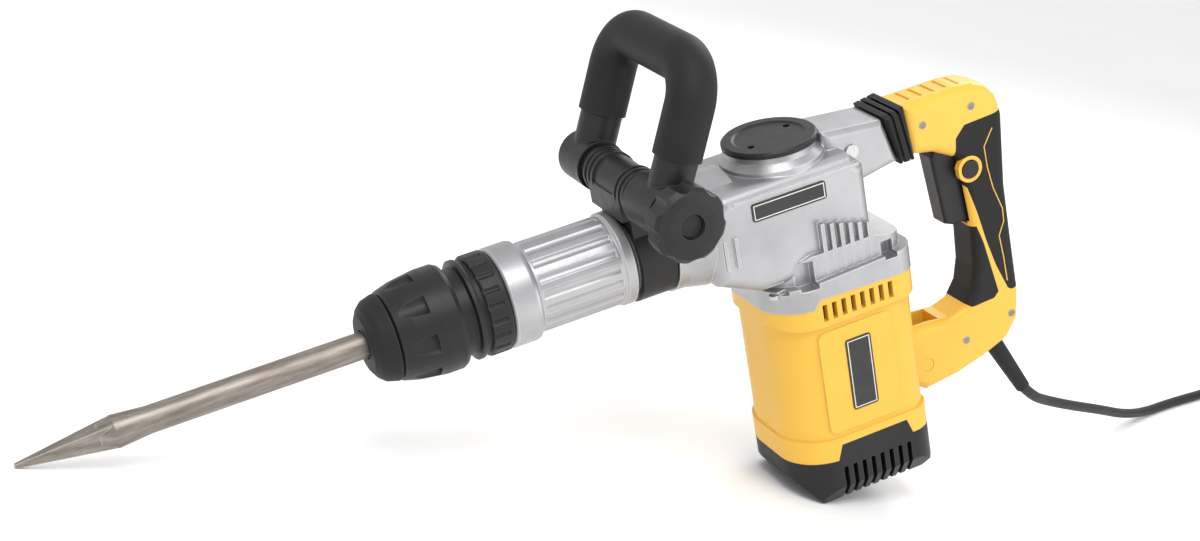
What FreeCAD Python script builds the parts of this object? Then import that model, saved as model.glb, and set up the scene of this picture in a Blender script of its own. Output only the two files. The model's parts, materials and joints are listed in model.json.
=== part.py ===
import FreeCAD, Part
import math
import os
import Sketcher

# Electric demolition hammer. Everything is drawn in the tool's own frame, in millimetres: the
# barrel axis is X with the chisel towards -X, Z points away from the motor, and the crank's
# axis is X = 0. The whole tool is then set down nose first on its chisel tip and end cap.

V = FreeCAD.Vector
os.makedirs("parts", exist_ok=True)
doc = FreeCAD.newDocument("DemolitionHammer")

SIZES = {
    "nose_down": 22.7,
    "shank_radius": 9.0,
    "chisel_tip": -535.0,
    "point_start": -474.0,
    "chisel_end": -215.0,
    "nose_front": -306.0,
    "sleeve_front": -290.0,
    "sleeve_rear": -246.0,
    "sleeve_radius": 35.8,
    "ring_radius": 34.5,
    "barrel_front": -213.0,
    "barrel_radius": 31.0,
    "flange_radius": 34.6,
    "barrel_bore": 21.0,
    "cylinder_bore": 17.0,
    "band_front": -120.0,
    "band_rear": -95.0,
    "crank_throw": 12.0,
    "motor_offset": 20.625,
    "gear_module": 1.25,
    "gear_half": 40.0,
    "cap_radius": 33.2,
    "cap_top": 49.0,
    "motor_half": 46.0,
    "motor_front": -32.0,
    "motor_rear": 73.0,
    "cap_foot": -218.0,
    "bar_ahead": -110.0,
    "bar_above": 51.0,
    "loop_lean": 25.0,
    "loop_height": 93.0,
    "loop_near": -62.0,
    "loop_far": 52.0,
    "grip_radius": 16.4,
    "knob_radius": 25.0,
    "handle_half": 16.5,
    "pivot_ahead": 92.0,
    "pivot_below": -156.0,
    "cord_diameter": 8.0,
}
GEAR_TEETH = 27
PINION_TEETH = 6
FLUTES = 18
CLEAR = 0.4        # between pieces that move past each other
RUN = 0.05         # radial play of a shaft in its bearing

sheet = doc.addObject("Spreadsheet::Sheet", "Sizes")
for row, (alias, number) in enumerate(SIZES.items(), start=1):
    sheet.set(f"A{row}", str(number))
    sheet.setAlias(f"A{row}", alias)
doc.recompute()


class Size:
    """A length that knows both its value and the sheet expression it comes from."""

    def __init__(self, text, value):
        self.text = text
        self.value = value

    def __add__(self, more):
        return Size(f"{self.text} + {more}", self.value + more)

    def __sub__(self, less):
        return Size(f"{self.text} - {less}", self.value - less)

    def __neg__(self):
        return Size(f"-({self.text})", -self.value)


def size(alias):
    return Size("Sizes." + alias, SIZES[alias])


def number(length):
    return length.value if isinstance(length, Size) else float(length)


def bind(item, name, length):
    """Give a property its number, tied to the sheet where the length comes from there."""
    if isinstance(length, Size):
        item.setExpression(name, length.text)
    else:
        setattr(item, name, length)


BARREL = FreeCAD.Placement()
UPRIGHT = FreeCAD.Rotation(V(0, 1, 0), -90)
CRANK = FreeCAD.Placement(V(0, 0, 0), UPRIGHT)
MOTOR = FreeCAD.Placement(V(SIZES["motor_offset"], 0, 0), UPRIGHT)
CROSS = FreeCAD.Placement(V(SIZES["bar_ahead"], 0, SIZES["bar_above"]),
                          FreeCAD.Rotation(V(0, 0, 1), 90))

subparts = []


def keep(item, label, frame=BARREL):
    """Register a finished sub-part together with where it sits in the tool's frame."""
    item.Label = label
    subparts.append((item, frame))
    return item


# ---------------------------------------------------------------- sketches and features

def fix_coordinate(sketch, kind, vertex, value):
    if not isinstance(value, Size) and value == 0:
        axis = -2 if kind == "DistanceX" else -1
        sketch.addConstraint(Sketcher.Constraint("PointOnObject", vertex, 1, axis))
        return
    index = sketch.addConstraint(Sketcher.Constraint(kind, -1, 1, vertex, 1, number(value)))
    if isinstance(value, Size):
        sketch.setExpression(f"Constraints[{index}]", value.text)


def empty_sketch(body, plane, lift):
    sketch = body.newObject("Sketcher::SketchObject", body.Name + "Sketch")
    base = [item for item in body.Origin.OriginFeatures if item.Role == plane + "_Plane"][0]
    sketch.AttachmentSupport = (base, [""])
    sketch.MapMode = "FlatFace"
    sketch.AttachmentOffset = FreeCAD.Placement(V(0, 0, lift), FreeCAD.Rotation())
    return sketch


def outline(body, plane, corners, lift=0.0):
    """A closed polygon sketch whose corners are fixed by their distances from the origin."""
    sketch = empty_sketch(body, plane, lift)
    points = [V(number(x), number(y), 0) for x, y in corners]
    count = len(points)
    for index in range(count):
        sketch.addGeometry(Part.LineSegment(points[index], points[(index + 1) % count]), False)
    for index in range(count):
        sketch.addConstraint(Sketcher.Constraint("Coincident", index, 2, (index + 1) % count, 1))
    for index, (x, y) in enumerate(corners):
        fix_coordinate(sketch, "DistanceX", index, x)
        fix_coordinate(sketch, "DistanceY", index, y)
    return sketch


def ring_sketch(body, plane, spots, radius, lift=0.0):
    """Equal circles at the given spots of an origin plane."""
    sketch = empty_sketch(body, plane, lift)
    for x, y in spots:
        sketch.addGeometry(Part.Circle(V(x, y, 0), V(0, 0, 1), radius), False)
    return sketch


def turn(body, corners):
    """Revolve a half profile, given as (along the axis, radius), about the body's X axis."""
    profile = outline(body, "XZ", corners)
    feature = body.newObject("PartDesign::Revolution", body.Name + "Turned")
    feature.Profile = profile
    feature.ReferenceAxis = (profile, ["H_Axis"])
    feature.Angle = 360
    return feature


def pad(body, sketch, length, both=True, back=False):
    feature = body.newObject("PartDesign::Pad", body.Name + "Pad")
    feature.Profile = sketch
    bind(feature, "Length", length)
    feature.SideType = "Symmetric" if both else "One side"
    feature.Reversed = back
    return feature


def pocket(body, sketch, length=None, both=True, back=False):
    feature = body.newObject("PartDesign::Pocket", body.Name + "Pocket")
    feature.Profile = sketch
    feature.SideType = "Symmetric" if both else "One side"
    if length is None:
        feature.Type = "ThroughAll"
    else:
        bind(feature, "Length", length)
    feature.Reversed = back
    return feature


def around(body, feature, count, axis="X"):
    """Repeat a feature evenly around one of the body's own axes."""
    pattern = body.newObject("PartDesign::PolarPattern", body.Name + "Around")
    pattern.Originals = [feature]
    line = [item for item in body.Origin.OriginFeatures if item.Role == axis + "_Axis"][0]
    pattern.Axis = (line, [""])
    pattern.Angle = 360
    pattern.Occurrences = count
    body.Tip = pattern
    return pattern


def soften(body, radius, wanted):
    """Fillet every edge of the tip that the test picks."""
    doc.recompute()
    base = body.Tip
    names = [f"Edge{index}" for index, edge in enumerate(base.Shape.Edges, 1) if wanted(edge)]
    fillet = body.newObject("PartDesign::Fillet", body.Name + "Fillet")
    fillet.Base = (base, names)
    fillet.Radius = radius
    body.Tip = fillet
    doc.recompute()
    if "Invalid" in fillet.State:
        raise RuntimeError(f"{body.Name}: a {radius} mm fillet failed on {len(names)} edges")
    return fillet


def runs_along(axis, low=1.0):
    """Pick straight edges longer than low that run along the axis."""

    def test(edge):
        if edge.Length < low or not isinstance(edge.Curve, (Part.Line, Part.LineSegment)):
            return False
        first, last = edge.Vertexes[0].Point, edge.Vertexes[-1].Point
        return abs((last - first).normalize().dot(axis)) > 0.999

    return test


def lies_on(axis, place, slack=0.01):
    """Pick edges whose every point lies on the plane at this place along the axis."""

    def test(edge):
        ends = [edge.valueAt(edge.FirstParameter), edge.valueAt(edge.LastParameter)]
        middle = edge.valueAt((edge.FirstParameter + edge.LastParameter) / 2)
        return all(abs(abs(point.dot(axis)) - place) < slack for point in ends + [middle])

    return test


def turned(label, corners, frame=BARREL):
    body = doc.addObject("PartDesign::Body", label.title().replace("_", ""))
    turn(body, corners)
    return keep(body, label, frame)


def new_body(name):
    return doc.addObject("PartDesign::Body", name)


# ---------------------------------------------------------------- plain solids and booleans

def rod(start, end, radius):
    """A Part::Cylinder between two points of the tool's frame."""
    item = doc.addObject("Part::Cylinder", "Rod")
    bind(item, "Radius", radius)
    span = end - start
    item.Height = span.Length
    item.Placement = FreeCAD.Placement(start, FreeCAD.Rotation(V(0, 0, 1), span))
    return item


def block(low, high):
    item = doc.addObject("Part::Box", "Block")
    item.Length = high.x - low.x
    item.Width = high.y - low.y
    item.Height = high.z - low.z
    item.Placement = FreeCAD.Placement(low, FreeCAD.Rotation())
    return item


def cut(base, tool):
    item = doc.addObject("Part::Cut", "Cut")
    item.Base = base
    item.Tool = tool
    return item


def common(base, tool):
    item = doc.addObject("Part::Common", "Common")
    item.Base = base
    item.Tool = tool
    return item


def fuse(pieces):
    item = doc.addObject("Part::MultiFuse", "Fuse")
    item.Shapes = pieces
    return item


def group(pieces):
    item = doc.addObject("Part::Compound", "Group")
    item.Links = pieces
    return item


def side_slab(corners, half):
    """A slab of the given side view, symmetric about the tool's middle plane."""
    body = new_body("Slab")
    pad(body, outline(body, "XZ", corners), half)
    return body


# ---------------------------------------------------------------- chisel and chuck

def chisel():
    """Shank with its two locking recesses, drawn to a four-sided point."""
    shank = size("shank_radius")
    end = size("chisel_end")
    start = size("point_start")
    body = new_body("Chisel")
    turn(body, [(start - 8, 0), (end, 0), (end, shank - 1), (end - 1, shank), (start + 24, shank),
                (start + 2, 11), (start - 8, 8)])
    loft = body.newObject("PartDesign::AdditiveLoft", "ChiselPoint")
    for place, half in ((start, 7.9), (size("chisel_tip"), 1.3)):
        square = outline(body, "YZ", [(-half, -half), (half, -half), (half, half), (-half, half)],
                         place.value)
        if place is start:
            loft.Profile = square
        else:
            loft.Sections = [square]
    loft.Ruled = True
    body.Tip = loft
    recess_floor = 6.3
    recess = outline(body, "XY", [(-283, recess_floor), (-253, recess_floor), (-253, 12), (-283, 12)])
    around(body, pocket(body, recess, 6.8), 2)
    keep(body, "chisel")


def tool_holder():
    """Steel sleeve that guides the shank, with a hole each side for a locking ball."""
    body = new_body("ToolHolder")
    bore = size("shank_radius") + RUN
    turn(body, [(-302, bore), (-213, bore), (-213, 13 + RUN), (-166, 13 + RUN), (-166, 18),
                (-170, 20), (-250, 20), (-250, 15), (-302, 15)])
    pocket(body, ring_sketch(body, "XZ", [(-279.5, 0)], 3.1))
    keep(body, "tool_holder")
    balls = []
    for side in (-1, 1):
        ball = doc.addObject("Part::Sphere", "Ball")
        ball.Radius = 3.0
        ball.Placement = FreeCAD.Placement(V(-279.5, side * 9.5, 0), FreeCAD.Rotation())
        balls.append(ball)
    keep(group(balls), "locking_balls")


def chuck():
    """Nose cap, fluted locking sleeve and the ring that indexes the chisel."""
    front = size("sleeve_front")
    rear = size("sleeve_rear")
    nose = size("nose_front")
    turned("nose_cap", [(nose, 10), (nose, 19), (nose + 3, 24), (nose + 7, 27.5), (nose + 14, 29.5),
                        (nose + 15.5, 29.5), (nose + 15.5, 15), (nose + 4, 15), (nose + 4, 10)])
    body = new_body("ChuckSleeve")
    big = size("sleeve_radius")
    turn(body, [(front, 15 + CLEAR), (front, 28), (front + 1.5, 30.5), (front + 12, 33.4),
                (front + 30, big), (rear - 3, big), (rear, big - 1.6), (rear, 30.5), (rear - 14, 30.5),
                (rear - 14, 17), (-272, 17), (-272, 15 + CLEAR)])
    scallops = ring_sketch(body, "YZ", [(0, 41.5)], 10.0, front.value - 1)
    around(body, pocket(body, scallops, 25, both=False, back=True), 8)
    keep(body, "chuck_sleeve")
    ring = size("ring_radius")
    band = new_body("IndexRing")
    turn(band, [(-250, 20), (-213.4, 20), (-213.4, ring - 1.5), (-215, ring), (-228, ring),
                (-229, ring - 1), (-229, 31), (-233, 31), (-233, ring - 1), (-234, ring - 0.4),
                (-236.5, ring - 0.4), (-237.5, 29.8), (-250, 29.8)])
    notch = ring_sketch(band, "YZ", [(0, 35.6)], 2.4, -229.5)
    around(band, pocket(band, notch, 12, both=False, back=True), 20)
    keep(band, "index_ring")


# ---------------------------------------------------------------- hammer mechanism

def hammer_mechanism():
    """Cylinder, flying striker, impact bolt, and the piston driven by the crank."""
    bore = size("cylinder_bore")
    turned("cylinder_tube", [(-164, bore), (-62, bore), (-62, size("barrel_bore")),
                             (-164, size("barrel_bore"))])
    turned("impact_bolt", [(-214.6, 0), (-170, 0), (-170, 8), (-184, 8), (-185, 13), (-204, 13),
                           (-205, 8.5), (-214.6, 8.5)])
    turned("striker", [(-158, 0), (-120, 0), (-120, bore - RUN), (-128, bore - RUN), (-128, 15.4),
                       (-131, 15.4), (-131, bore - RUN), (-149, bore - RUN), (-151, 8), (-158, 8)])
    turned("striker_ring", [(-130.8, 15.4), (-128.2, 15.4), (-128.2, 16.6), (-130.8, 16.6)])
    piston = new_body("Piston")
    turn(piston, [(-98, 0), (-89, 0), (-89, 12), (-70, 12), (-70, bore - RUN), (-90, bore - RUN),
                  (-90, 15.4), (-93, 15.4), (-93, bore - RUN), (-98, bore - RUN)])
    pocket(piston, ring_sketch(piston, "XY", [(-80, 0)], 4.0))
    keep(piston, "piston")
    turned("piston_ring", [(-92.8, 15.4), (-90.2, 15.4), (-90.2, 16.6), (-92.8, 16.6)])
    throw = SIZES["crank_throw"]
    keep(group([rod(V(-80, 0, -16), V(-80, 0, 16), 4.0)]), "wrist_pin")
    keep(group([rod(V(-throw, 0, -13.6), V(-throw, 0, 7), 4.0)]), "crank_pin")
    beam = fuse([rod(V(-80, 0, -5), V(-80, 0, 5), 7.0), rod(V(-throw, 0, -5), V(-throw, 0, 5), 9.0),
                 block(V(-78, -4.5, -4), V(-throw, 4.5, 4))])
    eyes = fuse([rod(V(-80, 0, -6), V(-80, 0, 6), 4.0), rod(V(-throw, 0, -6), V(-throw, 0, 6), 4.0)])
    keep(cut(beam, eyes), "con_rod")


def tooth(body, root, tip, root_half, tip_half, low, high, offset_deg):
    """One straight-flanked gear tooth along the body's X axis, turned by offset_deg."""
    across = V(0, 1, 0)
    out = V(0, 0, 1)
    turned_by = FreeCAD.Rotation(V(1, 0, 0), offset_deg)
    flat = []
    for radius, half in ((root - 0.6, -root_half), (root - 0.6, root_half), (tip, tip_half),
                         (tip, -tip_half)):
        corner = turned_by.multVec(across * half + out * radius)
        flat.append((corner.y, corner.z))
    return pad(body, outline(body, "YZ", flat, low), high - low, both=False)


def crank_train():
    """Crank wheel on its bearings, meshed with the pinion cut on the motor's shaft."""
    module = SIZES["gear_module"]
    pitch = GEAR_TEETH * module / 2
    root = pitch - 1.25 * module
    body = new_body("CrankGear")
    turn(body, [(-64, 0), (-14, 0), (-14, 18.2), (-19, 18.2), (-19.4, root), (-31, root), (-31, 9),
                (-33, 7.5), (-56, 7.5), (-56.5, 5), (-64, 5)])
    gap_to_pinion = 180 + 180 / GEAR_TEETH
    cog = tooth(body, root, pitch + 0.8 * module, 1.0, 0.38, -31, -19.4, gap_to_pinion)
    around(body, cog, GEAR_TEETH)
    keep(body, "crank_gear", CRANK)
    upper = rod(V(0, 0, -43), V(0, 0, -33.5), 14.0)
    lower = rod(V(0, 0, -64), V(0, 0, -57), 9.0)
    keep(group([cut(upper, rod(V(0, 0, -44), V(0, 0, -33), 7.5 + RUN)),
                cut(lower, rod(V(0, 0, -65), V(0, 0, -56), 5 + RUN))]), "crank_bearings")
    shaft = new_body("RotorShaft")
    pinion = PINION_TEETH * module / 2
    turn(shaft, [(-170, 0), (-19.8, 0), (-19.8, pinion - 1.3), (-31.5, pinion - 1.3), (-32, 3),
                 (-48.6, 3), (-48.6, 4), (-58, 4), (-58, 6), (-161, 6), (-161, 4), (-170, 4)])
    leaf = tooth(shaft, pinion - 1.3, pinion + 0.9 * module, 0.8, 0.33, -31.5, -19.8, 0)
    around(shaft, leaf, PINION_TEETH)
    keep(shaft, "rotor_shaft", MOTOR)


# ---------------------------------------------------------------- motor

def motor_internals():
    """Universal motor: wound rotor, commutator, fan, field stack, brushes and bearings."""
    turned("rotor_core", [(-128, 6), (-80, 6), (-80, 22), (-128, 22)], MOTOR)
    turned("commutator", [(-152, 6), (-138, 6), (-138, 10), (-140, 13), (-152, 13)], MOTOR)
    fan = new_body("CoolingFan")
    turn(fan, [(-74, 6), (-64.4, 6), (-64.4, 32), (-66, 32), (-67, 10), (-74, 10)])
    blade = outline(fan, "YZ", [(-0.8, 9), (0.8, 9), (0.8, 31), (-0.8, 31)], -74)
    around(fan, pad(fan, blade, 9, both=False), 12)
    keep(fan, "cooling_fan", MOTOR)
    turned("stator", [(-128, 22.6), (-80, 22.6), (-80, 38), (-128, 38)], MOTOR)
    coils = []
    for low, high in ((-134, -128), (-80, -75.5)):
        coil = new_body("Coil")
        turn(coil, [(low, 24), (high, 24), (high, 35), (low, 35)])
        coil.Placement = MOTOR
        coils.append(coil)
    keep(group(coils), "field_coils")
    turned("motor_bearing_top", [(-56, 4 + RUN), (-49, 4 + RUN), (-49, 11), (-56, 11)], MOTOR)
    turned("motor_bearing_foot", [(-169, 4 + RUN), (-162, 4 + RUN), (-162, 11), (-169, 11)], MOTOR)
    middle = SIZES["motor_offset"]
    brushes = []
    holders = []
    for side in (-1, 1):
        inner, outer = sorted((side * 13.4, side * 30))
        brushes.append(block(V(middle - 4, inner, -148.5), V(middle + 4, outer, -142)))
        inner, outer = sorted((side * 16, side * 36))
        tube = block(V(middle - 6, inner, -150.5), V(middle + 6, outer, -140))
        inner, outer = sorted((side * 15, side * 34))
        holders.append(cut(tube, block(V(middle - 4, inner, -148.5), V(middle + 4, outer, -142))))
    keep(group(brushes), "carbon_brushes")
    keep(group(holders), "brush_holders")


def rounded_box(body, low_x, high_x, half, low, high, corner):
    """An upright box with rounded upright corners, symmetric about the middle plane."""
    plan = outline(body, "XY", [(low_x, -half), (high_x, -half), (high_x, half), (low_x, half)], low)
    pad(body, plan, high - low, both=False)
    return soften(body, corner, runs_along(V(0, 0, 1), (high - low) * 0.9))


# The joint lines of the motor case in side view: against the flange above, the end cap below.
CASE_TOP = [(-60, -64.5), (-8, -64.5), (-3, -58), (100, -61)]
CASE_FOOT = [(100, -184), (56, -184), (52, -172.5), (-1, -172.5), (-5, -184), (-60, -184)]


def case_envelope(name, grow, low, high):
    """The motor case's outer form: deep rounded front corners and tighter rear ones."""
    body = new_body(name)
    front, rear, half = SIZES["motor_front"] - grow, SIZES["motor_rear"] + grow, SIZES["motor_half"] + grow
    plan = outline(body, "XY", [(front, -half), (rear, -half), (rear, half), (front, half)], low)
    pad(body, plan, high - low, both=False)
    upright = runs_along(V(0, 0, 1), (high - low) * 0.9)
    soften(body, 33, lambda edge: edge.CenterOfMass.x < 0 and upright(edge))
    soften(body, 17, lambda edge: edge.CenterOfMass.x > 40 and upright(edge))
    return body


def motor_housing():
    """Yellow case: vent slots under the flange, raised side panels, bearing floor, pivot lug."""
    shell = common(case_envelope("MotorShell", 0.5, -190, -58), side_slab(CASE_TOP + CASE_FOOT, 120))
    shoulder = common(case_envelope("MotorShoulder", 3, -79, -58),
                      side_slab(CASE_TOP + [(100, -76), (60, -79), (-20, -79), (-60, -70)], 120))
    skirt = common(case_envelope("MotorSkirt", 2, -190, -166),
                   side_slab([(-60, -170), (-30, -167), (100, -167)] + CASE_FOOT, 120))
    panels = new_body("SidePanel")
    pad(panels, outline(panels, "XZ", [(-8, -84), (50, -84), (50, -163), (-8, -163)]), 2 * 47.5)
    soften(panels, 6, runs_along(V(0, 1, 0), 50))
    pivot = V(SIZES["pivot_ahead"], 0, SIZES["pivot_below"])
    lug = rod(pivot - V(0, 10, 0), pivot + V(0, 10, 0), 14.0)
    arm = block(V(68, -10, -168), V(SIZES["pivot_ahead"], 10, -144))
    inner = new_body("MotorHollow")
    rounded_box(inner, -29, 70, 43, -160, -50, 30)
    under = new_body("MotorUnderside")
    rounded_box(under, -28, 69, 42, -200, -171, 28)
    middle = SIZES["motor_offset"]
    bearing = rod(V(middle, 0, -169), V(middle, 0, -159), 11.0)
    shaft_way = rod(V(middle, 0, -180), V(middle, 0, -160), 6.0)
    pin_hole = rod(pivot - V(0, 11, 0), pivot + V(0, 11, 0), 5.0 + RUN)
    slots = [block(V(7.4 * count - 2, -60, -75), V(7.4 * count + 1.6, 60, -62.5)) for count in range(8)]
    solid = fuse([shell, shoulder, skirt, panels, lug, arm])
    keep(cut(solid, fuse([inner, under, bearing, shaft_way, pin_hole] + slots)), "motor_housing")


def motor_end_cap():
    """Black cap under the motor: bevelled foot, a tab up each side, and a row of cooling fins."""
    gap = 0.1
    joint = [(x, z - gap) for x, z in CASE_FOOT]
    foot = size("cap_foot")
    side = joint + [(-60, -196), (-33, -198), (-17, foot), (64, foot), (80, -204), (100, -200)]
    bevel = new_body("CapBevel")
    ends = [(-50, -160), (50, -160), (50, -203), (40, foot), (-40, foot), (-50, -203)]
    pad(bevel, outline(bevel, "YZ", ends), 240)
    outer = common(common(case_envelope("CapOuter", 2, -222, -166), side_slab(side, 120)), bevel)
    inner = new_body("CapInner")
    rounded_box(inner, -27, 68, 39, -212, -160, 26)
    fins = []
    for count in range(8):
        for side_y in (-45, 45):
            start = 7.4 * count - 2
            fins.append(block(V(start, side_y - 7, -222), V(start + 3.4, side_y + 7, -190.5)))
    keep(cut(outer, fuse([inner] + fins)), "motor_end_cap")


# ---------------------------------------------------------------- castings

def gear_housing():
    """Cast gearbox: rounded body, barrel collar, cap turret, motor flange and handle neck."""
    half = size("gear_half")
    body = new_body("GearBlock")
    side = [(-70, -30), (-72, 24), (-58, 33), (40, 33), (50, 22), (50, -26), (66, -44), (-38, -44)]
    pad(body, outline(body, "XZ", side), 80)
    soften(body, 9, lambda edge: lies_on(V(0, 1, 0), half.value)(edge))
    collar = new_body("Collar")
    turn(collar, [(-94, 0), (-40, 0), (-40, 38), (-70, 38), (-86, 34.5), (-94, 34.5)])
    turret = new_body("Turret")
    turn(turret, [(10, 0), (44.6, 0), (44.6, 30.5), (40, 31.5), (36, 36), (10, 38)])
    turret.Placement = CRANK
    lower = [(x, z + 0.1) for x, z in reversed(CASE_TOP)]
    flange = common(case_envelope("Flange", 3.4, -66, -40),
                    side_slab([(-60, -52), (-34, -48), (-10, -46), (100, -41)] + lower, 120))
    skirt = common(case_envelope("FlangeSkirt", -1.5, -66, -26),
                   side_slab([(-60, -46), (-24, -34), (-2, -27), (46, -27), (100, -40)] + lower, 120))
    neck = new_body("Neck")
    pad(neck, outline(neck, "XZ", [(30, 8), (30, 46), (77, 41), (86, 8), (52, 2)]), 42)
    soften(neck, 5, lies_on(V(0, 1, 0), 21))
    front_ribs = [block(V(-64 + 8 * count, -42, -18), V(-61.5 + 8 * count, 42, 4)) for count in range(2)]
    side_ribs = [block(V(7 + 7 * count, -45, -44), V(10 + 7 * count, 45, -6 - 2 * count))
                 for count in range(6)]
    ridges = side_slab([(-52, 24.8), (44, 24.8), (44, 27), (-52, 27)], 81.6)
    windows = []
    for side_y in (-46, 46):
        windows.append(block(V(-15, side_y - 9, -49), V(-2, side_y + 9, -30)))
        windows.append(block(V(50.5, side_y - 9, -46), V(60, side_y + 9, -34)))
        windows.append(block(V(-36, side_y - 9, -50), V(-22, side_y + 9, -40)))
    solid = fuse([body, collar, turret, flange, skirt, neck, ridges] + front_ribs + side_ribs)
    chamber = new_body("Chamber")
    rounded_box(chamber, -58, 43, 26, -32, 28, 10)
    middle = SIZES["motor_offset"]
    bores = [rod(V(-95, 0, 0), V(-50, 0, 0), 30.0), rod(V(0, 0, 20), V(0, 0, 46), 26.0),
             rod(V(0, 0, 44.6), V(0, 0, 60), 34.0),
             rod(V(0, 0, -43), V(0, 0, -30), 14.0), rod(V(0, 0, -64), V(0, 0, -40), 9.0),
             rod(V(middle, 0, -56), V(middle, 0, -30), 6.0),
             rod(V(middle, 0, -56), V(middle, 0, -49), 11.0),
             rod(V(middle, 0, -70), V(middle, 0, -50), 7.0)]
    fan_room = rod(V(middle, 0, -80), V(middle, 0, -60), 34.0)
    keep(cut(cut(solid, fuse(windows)), fuse([chamber, fan_room] + bores)), "gear_housing")


def barrel_housing():
    """Fluted barrel: round front flange, flutes along the body, spigot into the gearbox."""
    front = size("barrel_front")
    flange = size("flange_radius")
    wide = size("barrel_radius")
    bore = size("barrel_bore")
    body = new_body("BarrelHousing")
    turn(body, [(front, 20 + RUN), (-165, 20 + RUN), (-165, bore), (-62, bore), (-62, 29.9),
                (-94, 29.9), (-94.5, 28), (-121, 28), (-124, wide + 1.5), (-130, wide + 1.5),
                (-132, wide), (-192, wide), (-194, flange - 0.5), (-196, flange), (front + 1.5, flange),
                (front, flange - 1.5)])
    flute = ring_sketch(body, "YZ", [(0, 35.0)], 5.2, -190)
    around(body, pocket(body, flute, 56, both=False, back=True), FLUTES)
    keep(body, "barrel_housing")


def crank_cover():
    """Round black cover with two spanner holes, its spigot in the turret."""
    rim, top = size("cap_radius"), size("cap_top")
    cover = new_body("CrankCover")
    turn(cover, [(36, 0), (top - 1, 0), (top - 1, 24), (top, 25.5), (top, rim - 1.2), (top - 1.2, rim),
                 (44.8, rim), (44.8, 25.8), (36, 25.8)])
    holes = ring_sketch(cover, "YZ", [(7.8, -18), (-7.8, 18)], 2.6, SIZES["cap_top"] + 1)
    pocket(cover, holes, 7, both=False)
    keep(cover, "crank_cover", CRANK)


# ---------------------------------------------------------------- side handle

def side_handle():
    """Clamp round the barrel, ribbed cross tube, leaning loop with its grip, and the knob."""
    ahead, above = SIZES["bar_ahead"], SIZES["bar_above"]
    band_front, band_rear = SIZES["band_front"], SIZES["band_rear"]
    hoop = rod(V(band_front, 0, 0), V(band_rear, 0, 0), 33.0)
    saddle = block(V(-126, -26, 34), V(-95.5, 22, above))
    root = block(V(band_front, -26, 20), V(-95.5, 22, 34))
    bridge = rod(V(ahead, -38, above), V(ahead, 34, above), 15.0)
    bolt_room = rod(V(ahead, -60, above), V(ahead, 60, above), 4.5)
    bore = rod(V(-140, 0, 0), V(-90, 0, 0), 28.0 + RUN)
    ribs = [cut(rod(V(ahead, place, above), V(ahead, place + 2.5, above), 16.4), bore)
            for place in (-33, -27, -21, 14, 20, 26)]
    keep(cut(fuse([hoop, saddle, root, bridge] + ribs), fuse([bolt_room, bore])), "clamp_band")
    bolt = rod(V(ahead, -78, above), V(ahead, 76, above), 4.0)
    head = rod(V(ahead, 74, above), V(ahead, 79, above), 8.0)
    keep(fuse([bolt, head]), "clamp_bolt")
    loop()
    knob()


def loop():
    """Closed loop handle: a boss and a leg at each end of the cross tube, joined by the grip."""
    ahead, above = SIZES["bar_ahead"], SIZES["bar_above"]
    near, far = SIZES["loop_near"], SIZES["loop_far"]
    height = SIZES["loop_height"]
    lean = FreeCAD.Rotation(V(0, 1, 0), SIZES["loop_lean"])
    origin = V(ahead, 0, above)

    def at(across, up):
        return origin + lean.multVec(V(0, across, up))

    bolt_room = rod(V(ahead, -90, above), V(ahead, 90, above), 4.0 + RUN)
    bosses = [rod(V(ahead, near - 15, above), V(ahead, near + 23, above), 19.0),
              rod(V(ahead, far - 17, above), V(ahead, far + 15, above), 17.6)]
    legs = [rod(at(place, 30), at(place, 60), 13.0) for place in (near, far)]
    legs += [rod(at(place, 0), at(place, 33.5), 14.4) for place in (near, far)]
    keep(cut(fuse(bosses + legs), bolt_room), "loop_frame")
    bend = 26.0
    centre_near, centre_far = at(near + bend, height - bend), at(far - bend, height - bend)
    diagonal = bend * math.sqrt(0.5)
    first = Part.LineSegment(at(near, 34), at(near, height - bend)).toShape()
    left = Part.Arc(at(near, height - bend), centre_near + lean.multVec(V(0, -diagonal, diagonal)),
                    at(near + bend, height)).toShape()
    top = Part.LineSegment(at(near + bend, height), at(far - bend, height)).toShape()
    right = Part.Arc(at(far - bend, height), centre_far + lean.multVec(V(0, diagonal, diagonal)),
                     at(far, height - bend)).toShape()
    last = Part.LineSegment(at(far, height - bend), at(far, 34)).toShape()
    path = Part.Wire([first, left, top, right, last])
    along = lean.multVec(V(0, 0, 1))
    start = Part.Wire([Part.Circle(at(near, 34), along, SIZES["grip_radius"]).toShape()])
    shell = path.makePipeShell([start], True, False)
    spine = doc.addObject("Part::Feature", "GripOuter")
    spine.Shape = shell
    hollow = [rod(at(near, 30), at(near, 60.2), 13.0), rod(at(far, 30), at(far, 60.2), 13.0)]
    keep(cut(spine, fuse(hollow)), "loop_grip")


def knob():
    """Six-lobed clamp knob with a hexagonal recess, moulded round its steel nut."""
    body = new_body("ClampKnob")
    radius = size("knob_radius")
    turn(body, [(-103, 0), (-77.6, 0), (-77.6, 17), (-84, 18), (-86, radius), (-99, radius),
                (-102, radius - 3), (-103, radius - 9)])
    scallop = ring_sketch(body, "YZ", [(0, 30.5)], 8.0, -104)
    around(body, pocket(body, scallop, 20, both=False, back=True), 8)
    dish = new_body("KnobDish")
    turn(dish, [(-104, 0), (-99, 0), (-99, 7), (-104, 9)])
    dish.Placement = CROSS
    body.Placement = CROSS
    ahead, above = SIZES["bar_ahead"], SIZES["bar_above"]
    room = rod(V(ahead, -89, above), V(ahead, -76, above), 4.4)
    nut_room = rod(V(ahead, -88, above), V(ahead, -80, above), 7.5)
    keep(cut(body, fuse([dish, room, nut_room])), "clamp_knob")
    nut = rod(V(ahead, -88, above), V(ahead, -80, above), 7.5)
    keep(cut(nut, rod(V(ahead, -89, above), V(ahead, -79, above), 4.4)), "knob_nut")


# ---------------------------------------------------------------- rear handle

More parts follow.
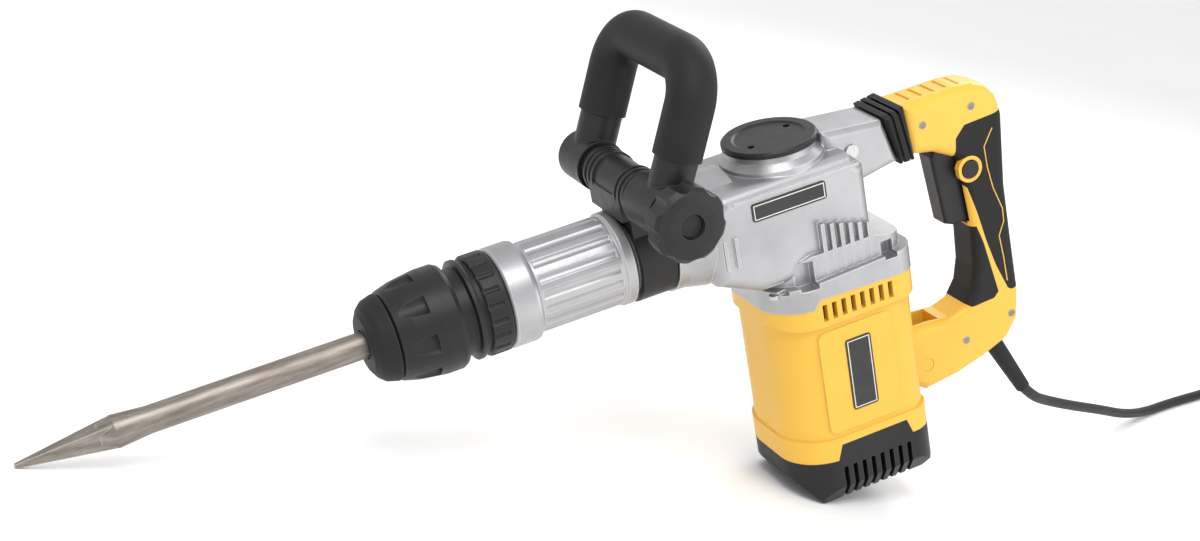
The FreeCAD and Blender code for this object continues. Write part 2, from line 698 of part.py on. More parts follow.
HANDLE_OUTER = [(95, 44.5), (141, 44.5), (155, 43), (165, 38.5), (173, 28), (176, 14), (173, -40),
                (174, -80), (175.5, -124), (173, -146), (162, -160), (141, -168), (117, -174),
                (90, -177), (79, -169), (76.5, -155), (76.5, -124)]
HANDLE_INNER = [(98, -125), (116, -127), (129, -123), (137, -112), (141, -96), (142, -66),
                (136, -8), (118, 2), (99, 6)]
REAR_PAD = [(190, 20), (165, 17), (143, 16), (135, 8), (133.5, -6), (135, -26), (141, -32),
            (146, -52), (151, -76), (157, -98), (165, -119), (168, -121), (190, -121)]
FRONT_PAD = [(110, -64), (145, -63.5), (149, -78), (157, -119), (153, -123), (134, -124), (120, -115),
             (110, -102)]
BUTTON = V(143.8, 0, -18)


def handle_body(name, half, inset, radius):
    """The handle's D shape; inset draws the smaller core that the soft pads are moulded on."""
    body = new_body(name)
    shrink = [(x - inset if x > 165 else x, z) for x, z in HANDLE_OUTER]
    front = [(x + inset if -113 < z < -60 else x, z) for x, z in HANDLE_INNER]
    pad(body, outline(body, "XZ", shrink + front), 2 * half)
    soften(body, radius, lies_on(V(0, 1, 0), half))
    return body


def rear_handle():
    """Two moulded halves with their soft pads, screws, pivot fork, trigger and lock-on button."""
    half = SIZES["handle_half"]
    slot = block(V(100, -9.4, -62.5), V(150, 9.4, 5))
    button_room = rod(BUTTON - V(0, 30, 0), BUTTON - V(0, 9, 0), 7.0)
    bezel_room = rod(BUTTON - V(0, 30, 0), BUTTON - V(0, 9, 0), 9.8)
    core = handle_body("HandleCore", half - 2.5, 2.5, 6)
    for name, zone in (("rear_grip", REAR_PAD), ("front_grip", FRONT_PAD)):
        moulded = common(handle_body("HandleOuter", half, 0, 7), side_slab(zone, 60))
        keep(cut(moulded, fuse([core, slot, bezel_room])), name)
    pads = fuse([side_slab(REAR_PAD, 60), side_slab(FRONT_PAD, 60)])
    padded = common(core, pads)
    bezel = common(rod(BUTTON - V(0, half + 0.5, 0), BUTTON - V(0, 12, 0), 9.8), side_slab(REAR_PAD, 60))
    body = fuse([cut(handle_body("HandleShell", half, 0, 7), pads), padded, bezel])
    fork = block(V(70, -10.4, -182), V(108, 10.4, -112))
    pivot = V(SIZES["pivot_ahead"], 0, SIZES["pivot_below"])
    pin_hole = rod(pivot - V(0, 30, 0), pivot + V(0, 30, 0), 5.0 + RUN)
    channel = rod(V(150, 0, -60), V(158, 0, -166), 5.0)
    relief_room = rod(V(154.4, 0, -160.7), V(170, 0, -193.4), 7.7)
    grooves = [block(V(104 + 10 * count, -9, 43.2), V(107 + 10 * count, 9, 60))
               for count in range(5)]
    hollow = fuse([slot, button_room, fork, pin_hole, channel, relief_room,
                   block(V(136, -12, -60), V(166, 12, 4))] + grooves)
    whole = cut(body, hollow)
    keep(common(whole, block(V(60, -60, -220), V(220, 0, 80))), "handle_half_near")
    keep(common(whole, block(V(60, 0, -220), V(220, 60, 80))), "handle_half_far")
    keep(group([rod(pivot - V(0, half - 0.4, 0), pivot + V(0, half - 0.4, 0), 5.0)]), "pivot_pin")
    keep(group([block(V(150.4, -11.5, -56), V(165, 11.5, 2))]), "switch")
    keep(group([rod(V(x, -half - 0.3, z), V(x, -half + 5, z), 3.0) for x, z in
                ((110, 26), (150, 28), (166, -140), (126, -148))]), "handle_screws")
    trigger = new_body("Trigger")
    pad(trigger, outline(trigger, "XZ", [(122, 3), (129, 2), (147, -12), (145.4, -60), (131, -60), (124, -57),
                                         (118, -4)]), 18)
    soften(trigger, 2.5, lies_on(V(0, 1, 0), 9))
    keep(trigger, "trigger")
    keep(group([rod(BUTTON - V(0, half + 1.5, 0), BUTTON - V(0, 12.4, 0), 6.5)]), "lock_button")
    bellows()
    relief = doc.addObject("Part::Cone", "StrainRelief")
    relief.Radius1 = 7.0
    relief.Radius2 = 5.4
    relief.Height = 56.0
    down = V(0.43, 0, -0.903)
    relief.Placement = FreeCAD.Placement(V(155.3, 0, -162.5), FreeCAD.Rotation(V(0, 0, 1), down))
    keep(group([relief]), "strain_relief")


def bellows():
    """Rubber ring of two folds between the gearbox neck and the handle, open through its middle."""
    soft = new_body("BellowsOuter")
    pad(soft, outline(soft, "XZ", [(77.6, 43), (94.6, 45.5), (99, 5), (87.4, 5)]), 45)
    soften(soft, 4, lies_on(V(0, 1, 0), 22.5))
    way_through = side_slab([(60, 35), (110, 35), (110, 13), (60, 13)], 30)
    kept = side_slab([(60, 41), (110, 41), (110, 9.5), (60, 9.5)], 40)
    folds = [side_slab([(x, 50), (x + 2.4, 50), (x + 11, 0), (x + 8.6, 0)], 60) for x in (81, 86.6)]
    keep(cut(cut(soft, way_through), cut(fuse(folds), kept)), "bellows")


# ---------------------------------------------------------------- mains cord

# Route on the floor frame: out of the strain relief, down to the floor, then away to the coil.
ROUTE = [(386.7, 12, 80.3), (405, 20, 70), (436, 42, 59), (487, 70, 45), (547, 104, 30),
         (604, 138, 14), (656, 170, 4.2), (706, 196, 4.2), (776, 228, 4.2), (838, 258, 4.2)]
OUTER_TURN = 58.0
INNER_TURN = 34.0
TAIL = 40.0


def rounded_path(corners):
    """Straight runs joined by tangent arcs as large as the shorter run beside each corner allows."""
    points = [V(*corner) for corner in corners]
    edges = []
    reached = points[0]
    for before, corner, after in zip(points, points[1:], points[2:]):
        incoming, outgoing = corner - before, after - corner
        half_turn = incoming.getAngle(outgoing) / 2
        setback = 0.45 * min(incoming.Length, outgoing.Length)
        radius = setback / math.tan(half_turn)
        print(f"cord bend radius {radius:.0f} mm")
        start = corner - incoming.normalize() * setback
        end = corner + outgoing.normalize() * setback
        inward = (end + start) * 0.5 - corner
        middle = corner + inward.normalize() * (radius / math.cos(half_turn) - radius)
        edges += [Part.LineSegment(reached, start).toShape(), Part.Arc(start, middle, end).toShape()]
        reached = end
    edges.append(Part.LineSegment(reached, points[-1]).toShape())
    return Part.Wire(edges)


def coil_centre():
    last, before = V(*ROUTE[-1]), V(*ROUTE[-2])
    heading = V(last.x - before.x, last.y - before.y, 0).normalize()
    return last + V(heading.y, -heading.x, 0) * OUTER_TURN, heading


def cord():
    """Rubber cord, its tied coil and the two-pin plug, all lying on the floor."""
    thick = SIZES["cord_diameter"] / 2
    path = rounded_path(ROUTE)
    first = V(*ROUTE[1]) - V(*ROUTE[0])
    section = Part.Wire([Part.Circle(V(*ROUTE[0]), first, thick).toShape()])
    tube = doc.addObject("Part::Feature", "CordTube")
    tube.Shape = path.makePipeShell([section], True, False)
    print(f"tube {tube.Shape.Volume:.0f}, section times length {math.pi * thick ** 2 * path.Length:.0f}")
    tube.Label = "cord_tube"
    centre, heading = coil_centre()
    side = V(-heading.y, heading.x, 0)
    turned_by = FreeCAD.Rotation(V(1, 0, 0), heading)
    coil = new_body("CordCoil")
    inner, outer, top = INNER_TURN - thick, OUTER_TURN + thick, 4 * thick + 0.4
    turn(coil, [(0.2, inner + 2), (2.2, inner), (top - 2, inner), (top, inner + 2),
                (top, outer - 2), (top - 2, outer), (2.2, outer), (0.2, outer - 2)])
    coil.Placement = FreeCAD.Placement(V(centre.x, centre.y, 0), UPRIGHT)
    coil.Label = "cord_coil"
    leaving = V(*ROUTE[-1]) + V(0, 0, 2 * thick)
    entering = leaving + heading * TAIL + V(0, 0, 6)
    tail = rod(leaving, entering, thick)
    tail.Label = "cord_tail"
    wide, high = outer - inner + 0.6, top + 0.5
    strap = cut(block(V(-6, -wide / 2 - 2, 0), V(6, wide / 2 + 2, high + 2)),
                block(V(-7, -wide / 2, -1), V(7, wide / 2, high)))
    middle = centre - heading * (inner + outer) / 2
    strap.Placement = FreeCAD.Placement(V(middle.x, middle.y, 0.1), FreeCAD.Rotation(V(1, 0, 0), side))
    strap.Label = "cord_tie"
    plug = new_body("PlugBody")
    turn(plug, [(0, 0), (62, 0), (62, 16), (59, 18), (40, 18), (34, 15), (24, 6.5), (0, 5)])
    plug.Placement = FreeCAD.Placement(entering, turned_by)
    plug.Label = "plug_body"
    pins = []
    for offset in (-9.5, 9.5):
        pin = rod(entering + heading * 62 + side * offset, entering + heading * 81 + side * offset, 2.4)
        pins.append(pin)
    pair = group(pins)
    pair.Label = "plug_pins"
    return [tube, coil, tail, strap, plug, pair]


# ---------------------------------------------------------------- small fittings

def side_label(label, face, rear_x, front_x, low, high):
    """A thin film with rounded corners on the near side of a housing."""
    film = new_body(label.title().replace("_", ""))
    corners = [(rear_x, low), (front_x, low), (front_x, high), (rear_x, high)]
    pad(film, outline(film, "XZ", corners, face), 0.8, both=False)
    soften(film, 2, runs_along(V(0, 1, 0), 0.5))
    keep(film, label)


def fittings():
    """Labels and screws, each lying on or in the housing it belongs to."""
    side_label("gear_label", 40, -39.5, 17, 9.5, 22.5)
    side_label("motor_label", 47.5, 12, 32, -149.5, -95)
    keep(group([rod(V(50, -22.6, 27), V(50, -21, 27), 5.0), rod(V(50, 21, 27), V(50, 22.6, 27), 5.0)]),
         "neck_screws")
    keep(group([rod(V(x, y, -52), V(x, y, -49), 3.5) for x in (-30, 64) for y in (-35, 35)]),
         "motor_screws")
    keep(group([rod(V(x, y, -221 + 3), V(x, y, -214), 3.0) for x in (-8, 62) for y in (-32, 32)]),
         "end_cap_screws")


chisel()
tool_holder()
chuck()
hammer_mechanism()
crank_train()
motor_internals()
motor_housing()
motor_end_cap()
gear_housing()
barrel_housing()
crank_cover()
side_handle()
rear_handle()
fittings()
on_floor = cord()
doc.recompute()

# ---------------------------------------------------------------- resting pose and files

tilt = FreeCAD.Placement(V(0, 0, 0), FreeCAD.Rotation(V(0, 1, 0), -SIZES["nose_down"]))
NOT_IN_BASE = {"strain_relief"}


def set_down(shift):
    for item, frame in subparts:
        own = frame if item.isDerivedFrom("PartDesign::Body") else FreeCAD.Placement()
        item.Placement = FreeCAD.Placement(shift, FreeCAD.Rotation()).multiply(tilt).multiply(own)
    doc.recompute()


set_down(V(0, 0, 0))
box = FreeCAD.BoundBox()
for item, _ in subparts:
    if item.Label not in NOT_IN_BASE:
        box.add(item.Shape.optimalBoundingBox(False))
shift = V(-box.Center.x, -box.Center.y, -box.ZMin)
set_down(shift)
print("shift", shift.x, shift.y, shift.z)

for item in doc.Objects:
    if {"Invalid", "Error"} & set(item.State):
        raise RuntimeError(f"{item.Name} ({item.Label}) failed to build: {item.State}")
for item in [item for item, _ in subparts] + on_floor:
    if item.Shape.isNull() or not item.Shape.isValid() or not item.Shape.Solids:
        raise RuntimeError(f"{item.Label} has no valid solid")
    item.Shape.exportStep(f"parts/{item.Label}.step")
print(len(subparts) + len(on_floor), "sub-parts")
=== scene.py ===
import json
import math

import bpy
from mathutils import Matrix, Vector


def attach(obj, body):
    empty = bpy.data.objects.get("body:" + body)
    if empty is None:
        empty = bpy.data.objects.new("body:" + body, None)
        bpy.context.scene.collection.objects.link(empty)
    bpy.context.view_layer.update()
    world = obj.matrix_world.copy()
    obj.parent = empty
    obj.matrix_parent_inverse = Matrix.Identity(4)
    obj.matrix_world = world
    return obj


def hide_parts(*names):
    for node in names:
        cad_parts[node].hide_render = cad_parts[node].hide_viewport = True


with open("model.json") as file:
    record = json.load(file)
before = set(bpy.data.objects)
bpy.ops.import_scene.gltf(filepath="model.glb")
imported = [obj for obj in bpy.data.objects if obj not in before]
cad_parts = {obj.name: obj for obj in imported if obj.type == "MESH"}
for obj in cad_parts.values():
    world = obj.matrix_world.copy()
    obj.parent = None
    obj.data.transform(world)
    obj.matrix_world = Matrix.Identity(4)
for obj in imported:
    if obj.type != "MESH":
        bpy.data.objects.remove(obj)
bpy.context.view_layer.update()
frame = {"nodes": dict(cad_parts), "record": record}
scene = bpy.context.scene
NODES = frame["nodes"]
MM = 0.001

# The tool's own frame: X along the barrel, Z away from the motor, set down nose first.
NOSE_DOWN = math.radians(22.7)
SHIFT = Vector((139.059, 12.0, 207.674))
TILT = Matrix.Rotation(-NOSE_DOWN, 3, "Y")


def tool(x, y, z):
    """A point of the tool's own frame, in millimetres, as a point of the row frame in metres."""
    return (TILT @ Vector((x, y, z)) + SHIFT) * MM


# ---------------------------------------------------------------- camera

# The camera's place and the directions of its picture, in the tool's own frame.
FOCAL_LENGTH = 65.8
EYE = (-604.6, -1250.5, 597.6)
RIGHT = (0.8948, -0.4143, -0.1661)
UP = (0.3124, 0.3155, 0.8960)
BACK = (-0.3189, -0.8537, 0.4117)


def add_camera():
    """Looks from the chisel's side and above, as the photograph does."""
    data = bpy.data.cameras.new("camera")
    data.lens = FOCAL_LENGTH
    data.sensor_width = 36.0
    data.clip_start = 0.05
    data.clip_end = 20
    camera = bpy.data.objects.new("camera", data)
    scene.collection.objects.link(camera)
    turn = Matrix([(TILT @ Vector(way)).normalized() for way in (RIGHT, UP, BACK)]).transposed()
    camera.matrix_world = Matrix.Translation(tool(*EYE)) @ turn.to_4x4()
    scene.camera = camera


# ---------------------------------------------------------------- cord

CORD_THICK = 0.008
ROUTE = [(386.7, 12, 80.3), (405, 20, 70), (436, 42, 59), (487, 70, 45), (547, 104, 30),
         (604, 138, 14), (656, 170, 4.3), (706, 196, 4.3), (776, 228, 4.3), (838, 258, 4.3)]
OUTER_TURN = 58.0
INNER_TURN = 34.0
COLUMNS = 4          # turns side by side in each of the coil's two layers
TURN_POINTS = 16     # points in one turn
TAIL = 40.0
LOW_LAYER = 4.3      # height of the cord's middle where it lies on the floor
LAYER_RISE = 8.1
TAIL_RISE = 5.8
TAIL_MIDDLE_RISE = 2


def coil_points():
    """Turns of the put-away coil: inwards on the floor, then outwards on top of them."""
    last, before = Vector(ROUTE[-1]), Vector(ROUTE[-2])
    heading = Vector((last.x - before.x, last.y - before.y, 0)).normalized()
    centre = last + Vector((heading.y, -heading.x, 0)) * OUTER_TURN
    start = math.atan2(last.y - centre.y, last.x - centre.x)
    pitch = (OUTER_TURN - INNER_TURN) / (COLUMNS - 1)
    points = []
    steps = 2 * COLUMNS * TURN_POINTS
    for step in range(1, steps):
        turn = step / TURN_POINTS
        inwards = min(turn, 2 * COLUMNS - turn)
        radius = OUTER_TURN - pitch * min(inwards, COLUMNS - 1)
        rise = min(max((turn - (COLUMNS - 0.5)), 0.0), 1.0)
        angle = start - 2 * math.pi * turn
        points.append((centre.x + radius * math.cos(angle), centre.y + radius * math.sin(angle),
                       LOW_LAYER + LAYER_RISE * rise))
    leaving = Vector((last.x, last.y, LOW_LAYER + LAYER_RISE))
    halfway = leaving + heading * TAIL / 2 + Vector((0, 0, TAIL_MIDDLE_RISE))
    entering = leaving + heading * TAIL + Vector((0, 0, TAIL_RISE))
    return points + [tuple(leaving), tuple(halfway), tuple(entering)]


def add_cord():
    data = bpy.data.curves.new("mains_cord", "CURVE")
    data.dimensions = "3D"
    data.bevel_depth = CORD_THICK / 2
    data.bevel_resolution = 5
    data.use_fill_caps = True
    data.resolution_u = 8
    spline = data.splines.new("NURBS")
    route = ROUTE + coil_points()
    spline.points.add(len(route) - 1)
    for point, place in zip(spline.points, route):
        point.co = (place[0] * MM, place[1] * MM, place[2] * MM, 1.0)
    spline.order_u = 3
    spline.use_endpoint_u = True
    cord = bpy.data.objects.new("mains_cord", data)
    scene.collection.objects.link(cord)
    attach(cord, "hammer")
    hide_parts("cord_tube", "cord_coil", "cord_tail")
    return cord


# ---------------------------------------------------------------- material toolkit

BEVEL_SAMPLES = 4
# An edge begins to show, and shows fully, where the dot product of the rounded normal and the
# true one falls this far below 1.
EDGE_STARTS = 0.02
EDGE_FULL = 0.14


class Recipe:
    """A node material under construction, with short helpers for what every finish here needs."""

    def __init__(self, name):
        self.material = bpy.data.materials.new(name)
        self.material.use_nodes = True
        self.tree = self.material.node_tree
        self.shader = self.tree.nodes["Principled BSDF"]
        self.place = self.tree.nodes.new("ShaderNodeTexCoord").outputs["Object"]

    def link(self, source, target):
        self.tree.links.new(source, target)

    def noise(self, scale, detail=4.0, rough=0.55, stretch=None):
        """Cloudy noise; stretch multiplies its frequency along the tool's own three axes."""
        node = self.tree.nodes.new("ShaderNodeTexNoise")
        node.inputs["Scale"].default_value = scale
        node.inputs["Detail"].default_value = detail
        node.inputs["Roughness"].default_value = rough
        source = self.place
        if stretch:
            mapping = self.tree.nodes.new("ShaderNodeMapping")
            mapping.vector_type = "TEXTURE"
            mapping.inputs["Rotation"].default_value = (0, -NOSE_DOWN, 0)
            mapping.inputs["Scale"].default_value = [1 / along for along in stretch]
            self.link(self.place, mapping.inputs["Vector"])
            source = mapping.outputs["Vector"]
        self.link(source, node.inputs["Vector"])
        return node.outputs["Fac"]

    def ramp(self, source, stops):
        node = self.tree.nodes.new("ShaderNodeValToRGB")
        ramp = node.color_ramp
        while len(ramp.elements) < len(stops):
            ramp.elements.new(0.5)
        for element, (position, colour) in zip(ramp.elements, stops):
            element.position = position
            element.color = (*colour, 1) if len(colour) == 3 else colour
        self.link(source, node.inputs["Fac"])
        return node.outputs["Color"]

    def span(self, source, low, high):
        node = self.tree.nodes.new("ShaderNodeMapRange")
        node.inputs["To Min"].default_value = low
        node.inputs["To Max"].default_value = high
        self.link(source, node.inputs["Value"])
        return node.outputs["Result"]

    def mix(self, factor, first, second):
        node = self.tree.nodes.new("ShaderNodeMix")
        node.data_type = "RGBA"
        self.link(factor, node.inputs["Factor"])
        for value, socket in ((first, node.inputs["A"]), (second, node.inputs["B"])):
            if isinstance(value, tuple):
                socket.default_value = (*value, 1)
            else:
                self.link(value, socket)
        return node.outputs["Result"]

    def rounded_normal(self, radius):
        bevel = self.tree.nodes.new("ShaderNodeBevel")
        bevel.samples = BEVEL_SAMPLES
        bevel.inputs["Radius"].default_value = radius
        return bevel.outputs["Normal"]

    def edges(self, radius):
        """White along edges, from how far a rounded normal leaves the true one."""
        geometry = self.tree.nodes.new("ShaderNodeNewGeometry")
        dot = self.tree.nodes.new("ShaderNodeVectorMath")
        dot.operation = "DOT_PRODUCT"
        self.link(self.rounded_normal(radius), dot.inputs[0])
        self.link(geometry.outputs["Normal"], dot.inputs[1])
        node = self.tree.nodes.new("ShaderNodeMapRange")
        node.inputs["From Min"].default_value = 1 - EDGE_STARTS
        node.inputs["From Max"].default_value = 1 - EDGE_FULL
        self.link(dot.outputs["Value"], node.inputs["Value"])
        return node.outputs["Result"]

    def relief(self, height, strength, distance, rounding=0.0):
        """Bump from a height, over edges that shade as if rounded off."""
        bump = self.tree.nodes.new("ShaderNodeBump")
        bump.inputs["Strength"].default_value = strength
        bump.inputs["Distance"].default_value = distance
        self.link(height, bump.inputs["Height"])
        if rounding:
            self.link(self.rounded_normal(rounding), bump.inputs["Normal"])
        self.link(bump.outputs["Normal"], self.shader.inputs["Normal"])

    def colour(self, source):
        self.link(source, self.shader.inputs["Base Color"])

    def rough(self, source):
        self.link(source, self.shader.inputs["Roughness"])


# ---------------------------------------------------------------- the finishes

def yellow_plastic():
    """Satin moulded plastic, with a fine spark-eroded grain and slightly paler rubbed edges."""
    recipe = Recipe("yellow_plastic")
    broad = recipe.noise(9.0, 3.0)
    base = recipe.ramp(broad, [(0.3, (0.72, 0.41, 0.036)), (0.7, (0.79, 0.46, 0.048))])
    recipe.colour(recipe.mix(recipe.edges(0.0012), base, (0.86, 0.54, 0.11)))
    recipe.rough(recipe.span(recipe.noise(60.0), 0.30, 0.46))
    recipe.relief(recipe.noise(2600.0, 2.0), 0.12, 0.0002, rounding=0.0009)
    recipe.shader.inputs["Specular IOR Level"].default_value = 0.5
    return recipe.material


def black_plastic():
    """Glass-filled black plastic with a fine texture that greys on its edges."""
    recipe = Recipe("black_plastic")
    base = recipe.ramp(recipe.noise(14.0), [(0.3, (0.007, 0.007, 0.008)), (0.7, (0.012, 0.011, 0.013))])
    recipe.colour(recipe.mix(recipe.edges(0.0010), base, (0.050, 0.048, 0.050)))
    recipe.rough(recipe.span(recipe.noise(90.0), 0.34, 0.52))
    recipe.shader.inputs["Specular IOR Level"].default_value = 0.34
    recipe.relief(recipe.noise(2200.0, 2.0), 0.22, 0.0002, rounding=0.0008)
    return recipe.material


def black_rubber():
    """Soft moulded rubber: matt, faintly dusty, with a leather-like grain."""
    recipe = Recipe("black_rubber")
    dust = recipe.noise(22.0, 6.0)
    base = recipe.ramp(dust, [(0.35, (0.007, 0.007, 0.008)), (0.75, (0.014, 0.013, 0.014))])
    recipe.colour(recipe.mix(recipe.edges(0.0014), base, (0.045, 0.044, 0.045)))
    recipe.rough(recipe.span(dust, 0.50, 0.70))
    recipe.shader.inputs["Specular IOR Level"].default_value = 0.28
    cells = recipe.tree.nodes.new("ShaderNodeTexVoronoi")
    cells.inputs["Scale"].default_value = 900.0
    recipe.link(recipe.place, cells.inputs["Vector"])
    recipe.relief(cells.outputs["Distance"], 0.35, 0.0003, rounding=0.0008)
    return recipe.material


def cast_alloy():
    """Die-cast alloy under silver paint: orange-peel skin, cloudy sheen, brighter edges."""
    recipe = Recipe("cast_alloy")
    cloud = recipe.noise(16.0, 5.0)
    base = recipe.ramp(cloud, [(0.3, (0.32, 0.32, 0.33)), (0.7, (0.46, 0.46, 0.47))])
    recipe.colour(recipe.mix(recipe.edges(0.0014), base, (0.74, 0.74, 0.75)))
    recipe.shader.inputs["Metallic"].default_value = 0.75
    recipe.rough(recipe.span(recipe.noise(45.0, 6.0), 0.28, 0.46))
    recipe.relief(recipe.noise(700.0, 3.0), 0.16, 0.0004, rounding=0.0010)
    return recipe.material


def forged_steel():
    """Dark heat-treated chisel steel with drawn streaks along the shank and rubbed corners."""
    recipe = Recipe("forged_steel")
    streak = recipe.noise(30.0, 6.0, 0.65, stretch=(1.0, 9.0, 9.0))
    base = recipe.ramp(streak, [(0.3, (0.16, 0.135, 0.115)), (0.55, (0.27, 0.24, 0.21)),
                                (0.75, (0.38, 0.35, 0.32))])
    recipe.colour(recipe.mix(recipe.edges(0.0014), base, (0.55, 0.52, 0.49)))
    recipe.shader.inputs["Metallic"].default_value = 0.9
    recipe.rough(recipe.span(streak, 0.34, 0.55))
    recipe.relief(recipe.noise(260.0, 5.0, 0.6, stretch=(1.0, 6.0, 6.0)), 0.25, 0.0004, rounding=0.0006)
    return recipe.material


def ground_steel():
    """Bright machined steel with fine grinding marks."""
    recipe = Recipe("ground_steel")
    marks = recipe.noise(220.0, 4.0, 0.6, stretch=(8.0, 1.0, 1.0))
    recipe.colour(recipe.ramp(marks, [(0.3, (0.42, 0.41, 0.40)), (0.7, (0.60, 0.59, 0.58))]))
    recipe.shader.inputs["Metallic"].default_value = 1.0
    recipe.rough(recipe.span(marks, 0.22, 0.38))
    recipe.relief(marks, 0.10, 0.0002, rounding=0.0004)
    return recipe.material


def laminations():
    """Stacked sheet steel: thin dark lines between the sheets."""
    recipe = Recipe("laminations")
    wave = recipe.tree.nodes.new("ShaderNodeTexWave")
    wave.bands_direction = "Z"
    wave.inputs["Scale"].default_value = 420.0
    wave.inputs["Distortion"].default_value = 0.4
    recipe.link(recipe.place, wave.inputs["Vector"])
    recipe.colour(recipe.ramp(wave.outputs["Fac"], [(0.2, (0.10, 0.10, 0.11)), (0.6, (0.34, 0.34, 0.35))]))
    recipe.shader.inputs["Metallic"].default_value = 0.9
    recipe.rough(recipe.span(recipe.noise(80.0), 0.4, 0.6))
    return recipe.material


def cloudy(name, dark, light, metallic):
    """Enamelled copper, bare brass or carbon, cloudy and slightly dulled."""
    recipe = Recipe(name)
    cloud = recipe.noise(120.0, 5.0)
    recipe.colour(recipe.ramp(cloud, [(0.3, dark), (0.7, light)]))
    recipe.shader.inputs["Metallic"].default_value = metallic
    recipe.rough(recipe.span(cloud, 0.28, 0.5))
    recipe.relief(recipe.noise(900.0), 0.15, 0.0003)
    return recipe.material


def label_film():
    """Printed black film with a satin lacquer and faint scuffs."""
    recipe = Recipe("label_film")
    scuff = recipe.noise(70.0, 6.0)
    recipe.colour(recipe.ramp(scuff, [(0.4, (0.010, 0.010, 0.011)), (0.8, (0.022, 0.022, 0.022))]))
    recipe.rough(recipe.span(scuff, 0.22, 0.42))
    return recipe.material


def painted_label_highlight():
    """Painted highlight for a label's lit edge: a pale line, slightly uneven."""
    recipe = Recipe("painted_label_highlight")
    recipe.colour(recipe.ramp(recipe.noise(90.0), [(0.3, (0.62, 0.60, 0.55)), (0.7, (0.75, 0.73, 0.68))]))
    recipe.rough(recipe.span(recipe.noise(150.0), 0.35, 0.5))
    return recipe.material


FINISH = {
    "yellow_plastic": yellow_plastic(),
    "black_plastic": black_plastic(),
    "black_rubber": black_rubber(),
    "cast_alloy": cast_alloy(),
    "forged_steel": forged_steel(),
    "steel": ground_steel(),
    "laminations": laminations(),
    "copper_winding": cloudy("copper_winding", (0.30, 0.10, 0.03), (0.50, 0.20, 0.08), 0.9),
    "brass": cloudy("brass", (0.42, 0.28, 0.09), (0.60, 0.43, 0.17), 1.0),
    "carbon": cloudy("carbon", (0.015, 0.015, 0.016), (0.045, 0.045, 0.047), 0.1),
    "label": label_film(),
}
# Painted highlight: the pale colour of the labels' frames stands in for light on the labels' edges.
LABEL_HIGHLIGHT = painted_label_highlight()


def paint(piece, material):
    piece.data.materials.clear()
    piece.data.materials.append(material)


# Pieces painted as something other than their record slot: the pin's moulded caps and the dull screws.
REPAINTED = {"pivot_pin": "yellow_plastic", "handle_screws": "forged_steel"}


def paint_nodes():
    for entry in frame["record"]["subparts"]:
        node = NODES[entry["node"]]
        material = FINISH[REPAINTED.get(entry["node"], entry["material_slot"])]
        for slot in node.material_slots:
            slot.material = material


# ---------------------------------------------------------------- small pieces

BORDER_INSET = 1.2
BORDER_LINE = 0.7
BORDER_PROUD = 0.86   # the label film is 0.8 mm thick


def label_border(name, face, rear_x, front_x, low, high):
    """A fine pale frame just inside a label's edge, a hair proud of its film: a painted highlight of the
    label's lit edge.
    """
    place = -face - BORDER_PROUD
    corners = []
    for margin in (BORDER_INSET, BORDER_INSET + BORDER_LINE):
        corners += [(rear_x + margin, place, low + margin), (front_x - margin, place, low + margin),
                    (front_x - margin, place, high - margin), (rear_x + margin, place, high - margin)]
    faces = [(side, (side + 1) % 4, 4 + (side + 1) % 4, 4 + side) for side in range(4)]
    mesh = bpy.data.meshes.new(name)
    mesh.from_pydata([tool(*corner) for corner in corners], [], faces)
    piece = bpy.data.objects.new(name, mesh)
    scene.collection.objects.link(piece)
    # Painted highlight: the frame takes the pale colour of light on the label's edge.
    paint(piece, LABEL_HIGHLIGHT)
    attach(piece, "hammer")


GRIP_LINE = [(165, 7), (157, -5), (158, -21), (161, -38), (167, -56), (167, -66), (162, -76),
             (164, -94), (165, -113)]
GRIP_LINE_SIDE = -16.55
GRIP_LINE_RADIUS = 0.00045


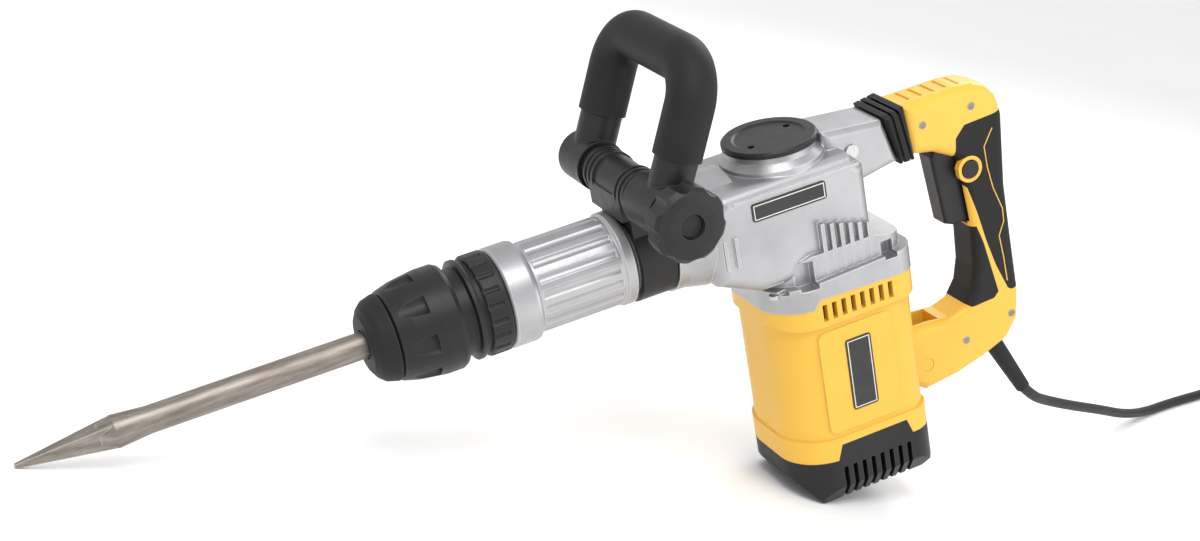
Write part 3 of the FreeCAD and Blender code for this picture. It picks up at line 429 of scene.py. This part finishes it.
def grip_line():
    """The thin yellow bead that zigzags down the near side of the rear grip."""
    data = bpy.data.curves.new("grip_line", "CURVE")
    data.dimensions = "3D"
    data.bevel_depth = GRIP_LINE_RADIUS
    data.bevel_resolution = 2
    data.use_fill_caps = True
    spline = data.splines.new("POLY")
    spline.points.add(len(GRIP_LINE) - 1)
    for point, (x, z) in zip(spline.points, GRIP_LINE):
        point.co = (*tool(x, GRIP_LINE_SIDE, z), 1.0)
    bead = bpy.data.objects.new("grip_line", data)
    scene.collection.objects.link(bead)
    paint(bead, FINISH["yellow_plastic"])
    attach(bead, "rear_handle")


def small_pieces():
    # Pale frames on both labels, painted highlight for their lit edges.
    label_border("gear_label_highlight", 40, -39.5, 17, 9.5, 22.5)
    label_border("motor_label_highlight", 47.5, 12, 32, -149.5, -95)
    grip_line()


# ---------------------------------------------------------------- stage

FLOOR_REACH = 12.0


def add_floor():
    """A pale plain floor that runs far past the view."""
    mesh = bpy.data.meshes.new("floor")
    corners = [(x * FLOOR_REACH, y * FLOOR_REACH, 0) for x, y in ((-1, -1), (1, -1), (1, 1), (-1, 1))]
    mesh.from_pydata(corners, [], [(0, 1, 2, 3)])
    floor = bpy.data.objects.new("floor", mesh)
    scene.collection.objects.link(floor)
    recipe = Recipe("floor_paper")
    recipe.colour(recipe.ramp(recipe.noise(3.0), [(0.3, (0.93, 0.93, 0.93)), (0.7, (0.96, 0.96, 0.96))]))
    recipe.rough(recipe.span(recipe.noise(40.0), 0.7, 0.85))
    mesh.materials.append(recipe.material)


SKY_STRENGTH = 0.9


def add_light(name, place, aim, width, power):
    data = bpy.data.lights.new(name, "AREA")
    data.size = width
    data.energy = power
    light = bpy.data.objects.new(name, data)
    scene.collection.objects.link(light)
    light.location = place
    light.rotation_euler = (Vector(aim) - Vector(place)).to_track_quat("-Z", "Y").to_euler()


def add_lights():
    scene.view_settings.view_transform = "Standard"
    world = bpy.data.worlds.new("studio")
    scene.world = world
    world.use_nodes = True
    background = world.node_tree.nodes["Background"]
    background.inputs["Color"].default_value = (1.0, 1.0, 1.0, 1)
    background.inputs["Strength"].default_value = SKY_STRENGTH
    add_light("key", (-0.6, -1.1, 1.9), (0.05, 0, 0.1), 1.2, 26)
    add_light("rim", (1.2, 1.0, 1.4), (0.05, 0, 0.15), 1.0, 12)
    add_light("fill", (1.3, -1.4, 0.6), (0.1, 0, 0.15), 1.4, 9)


# ---------------------------------------------------------------- putting it together

add_camera()
cord_piece = add_cord()
paint_nodes()
paint(cord_piece, FINISH["black_rubber"])
small_pieces()
add_floor()
add_lights()
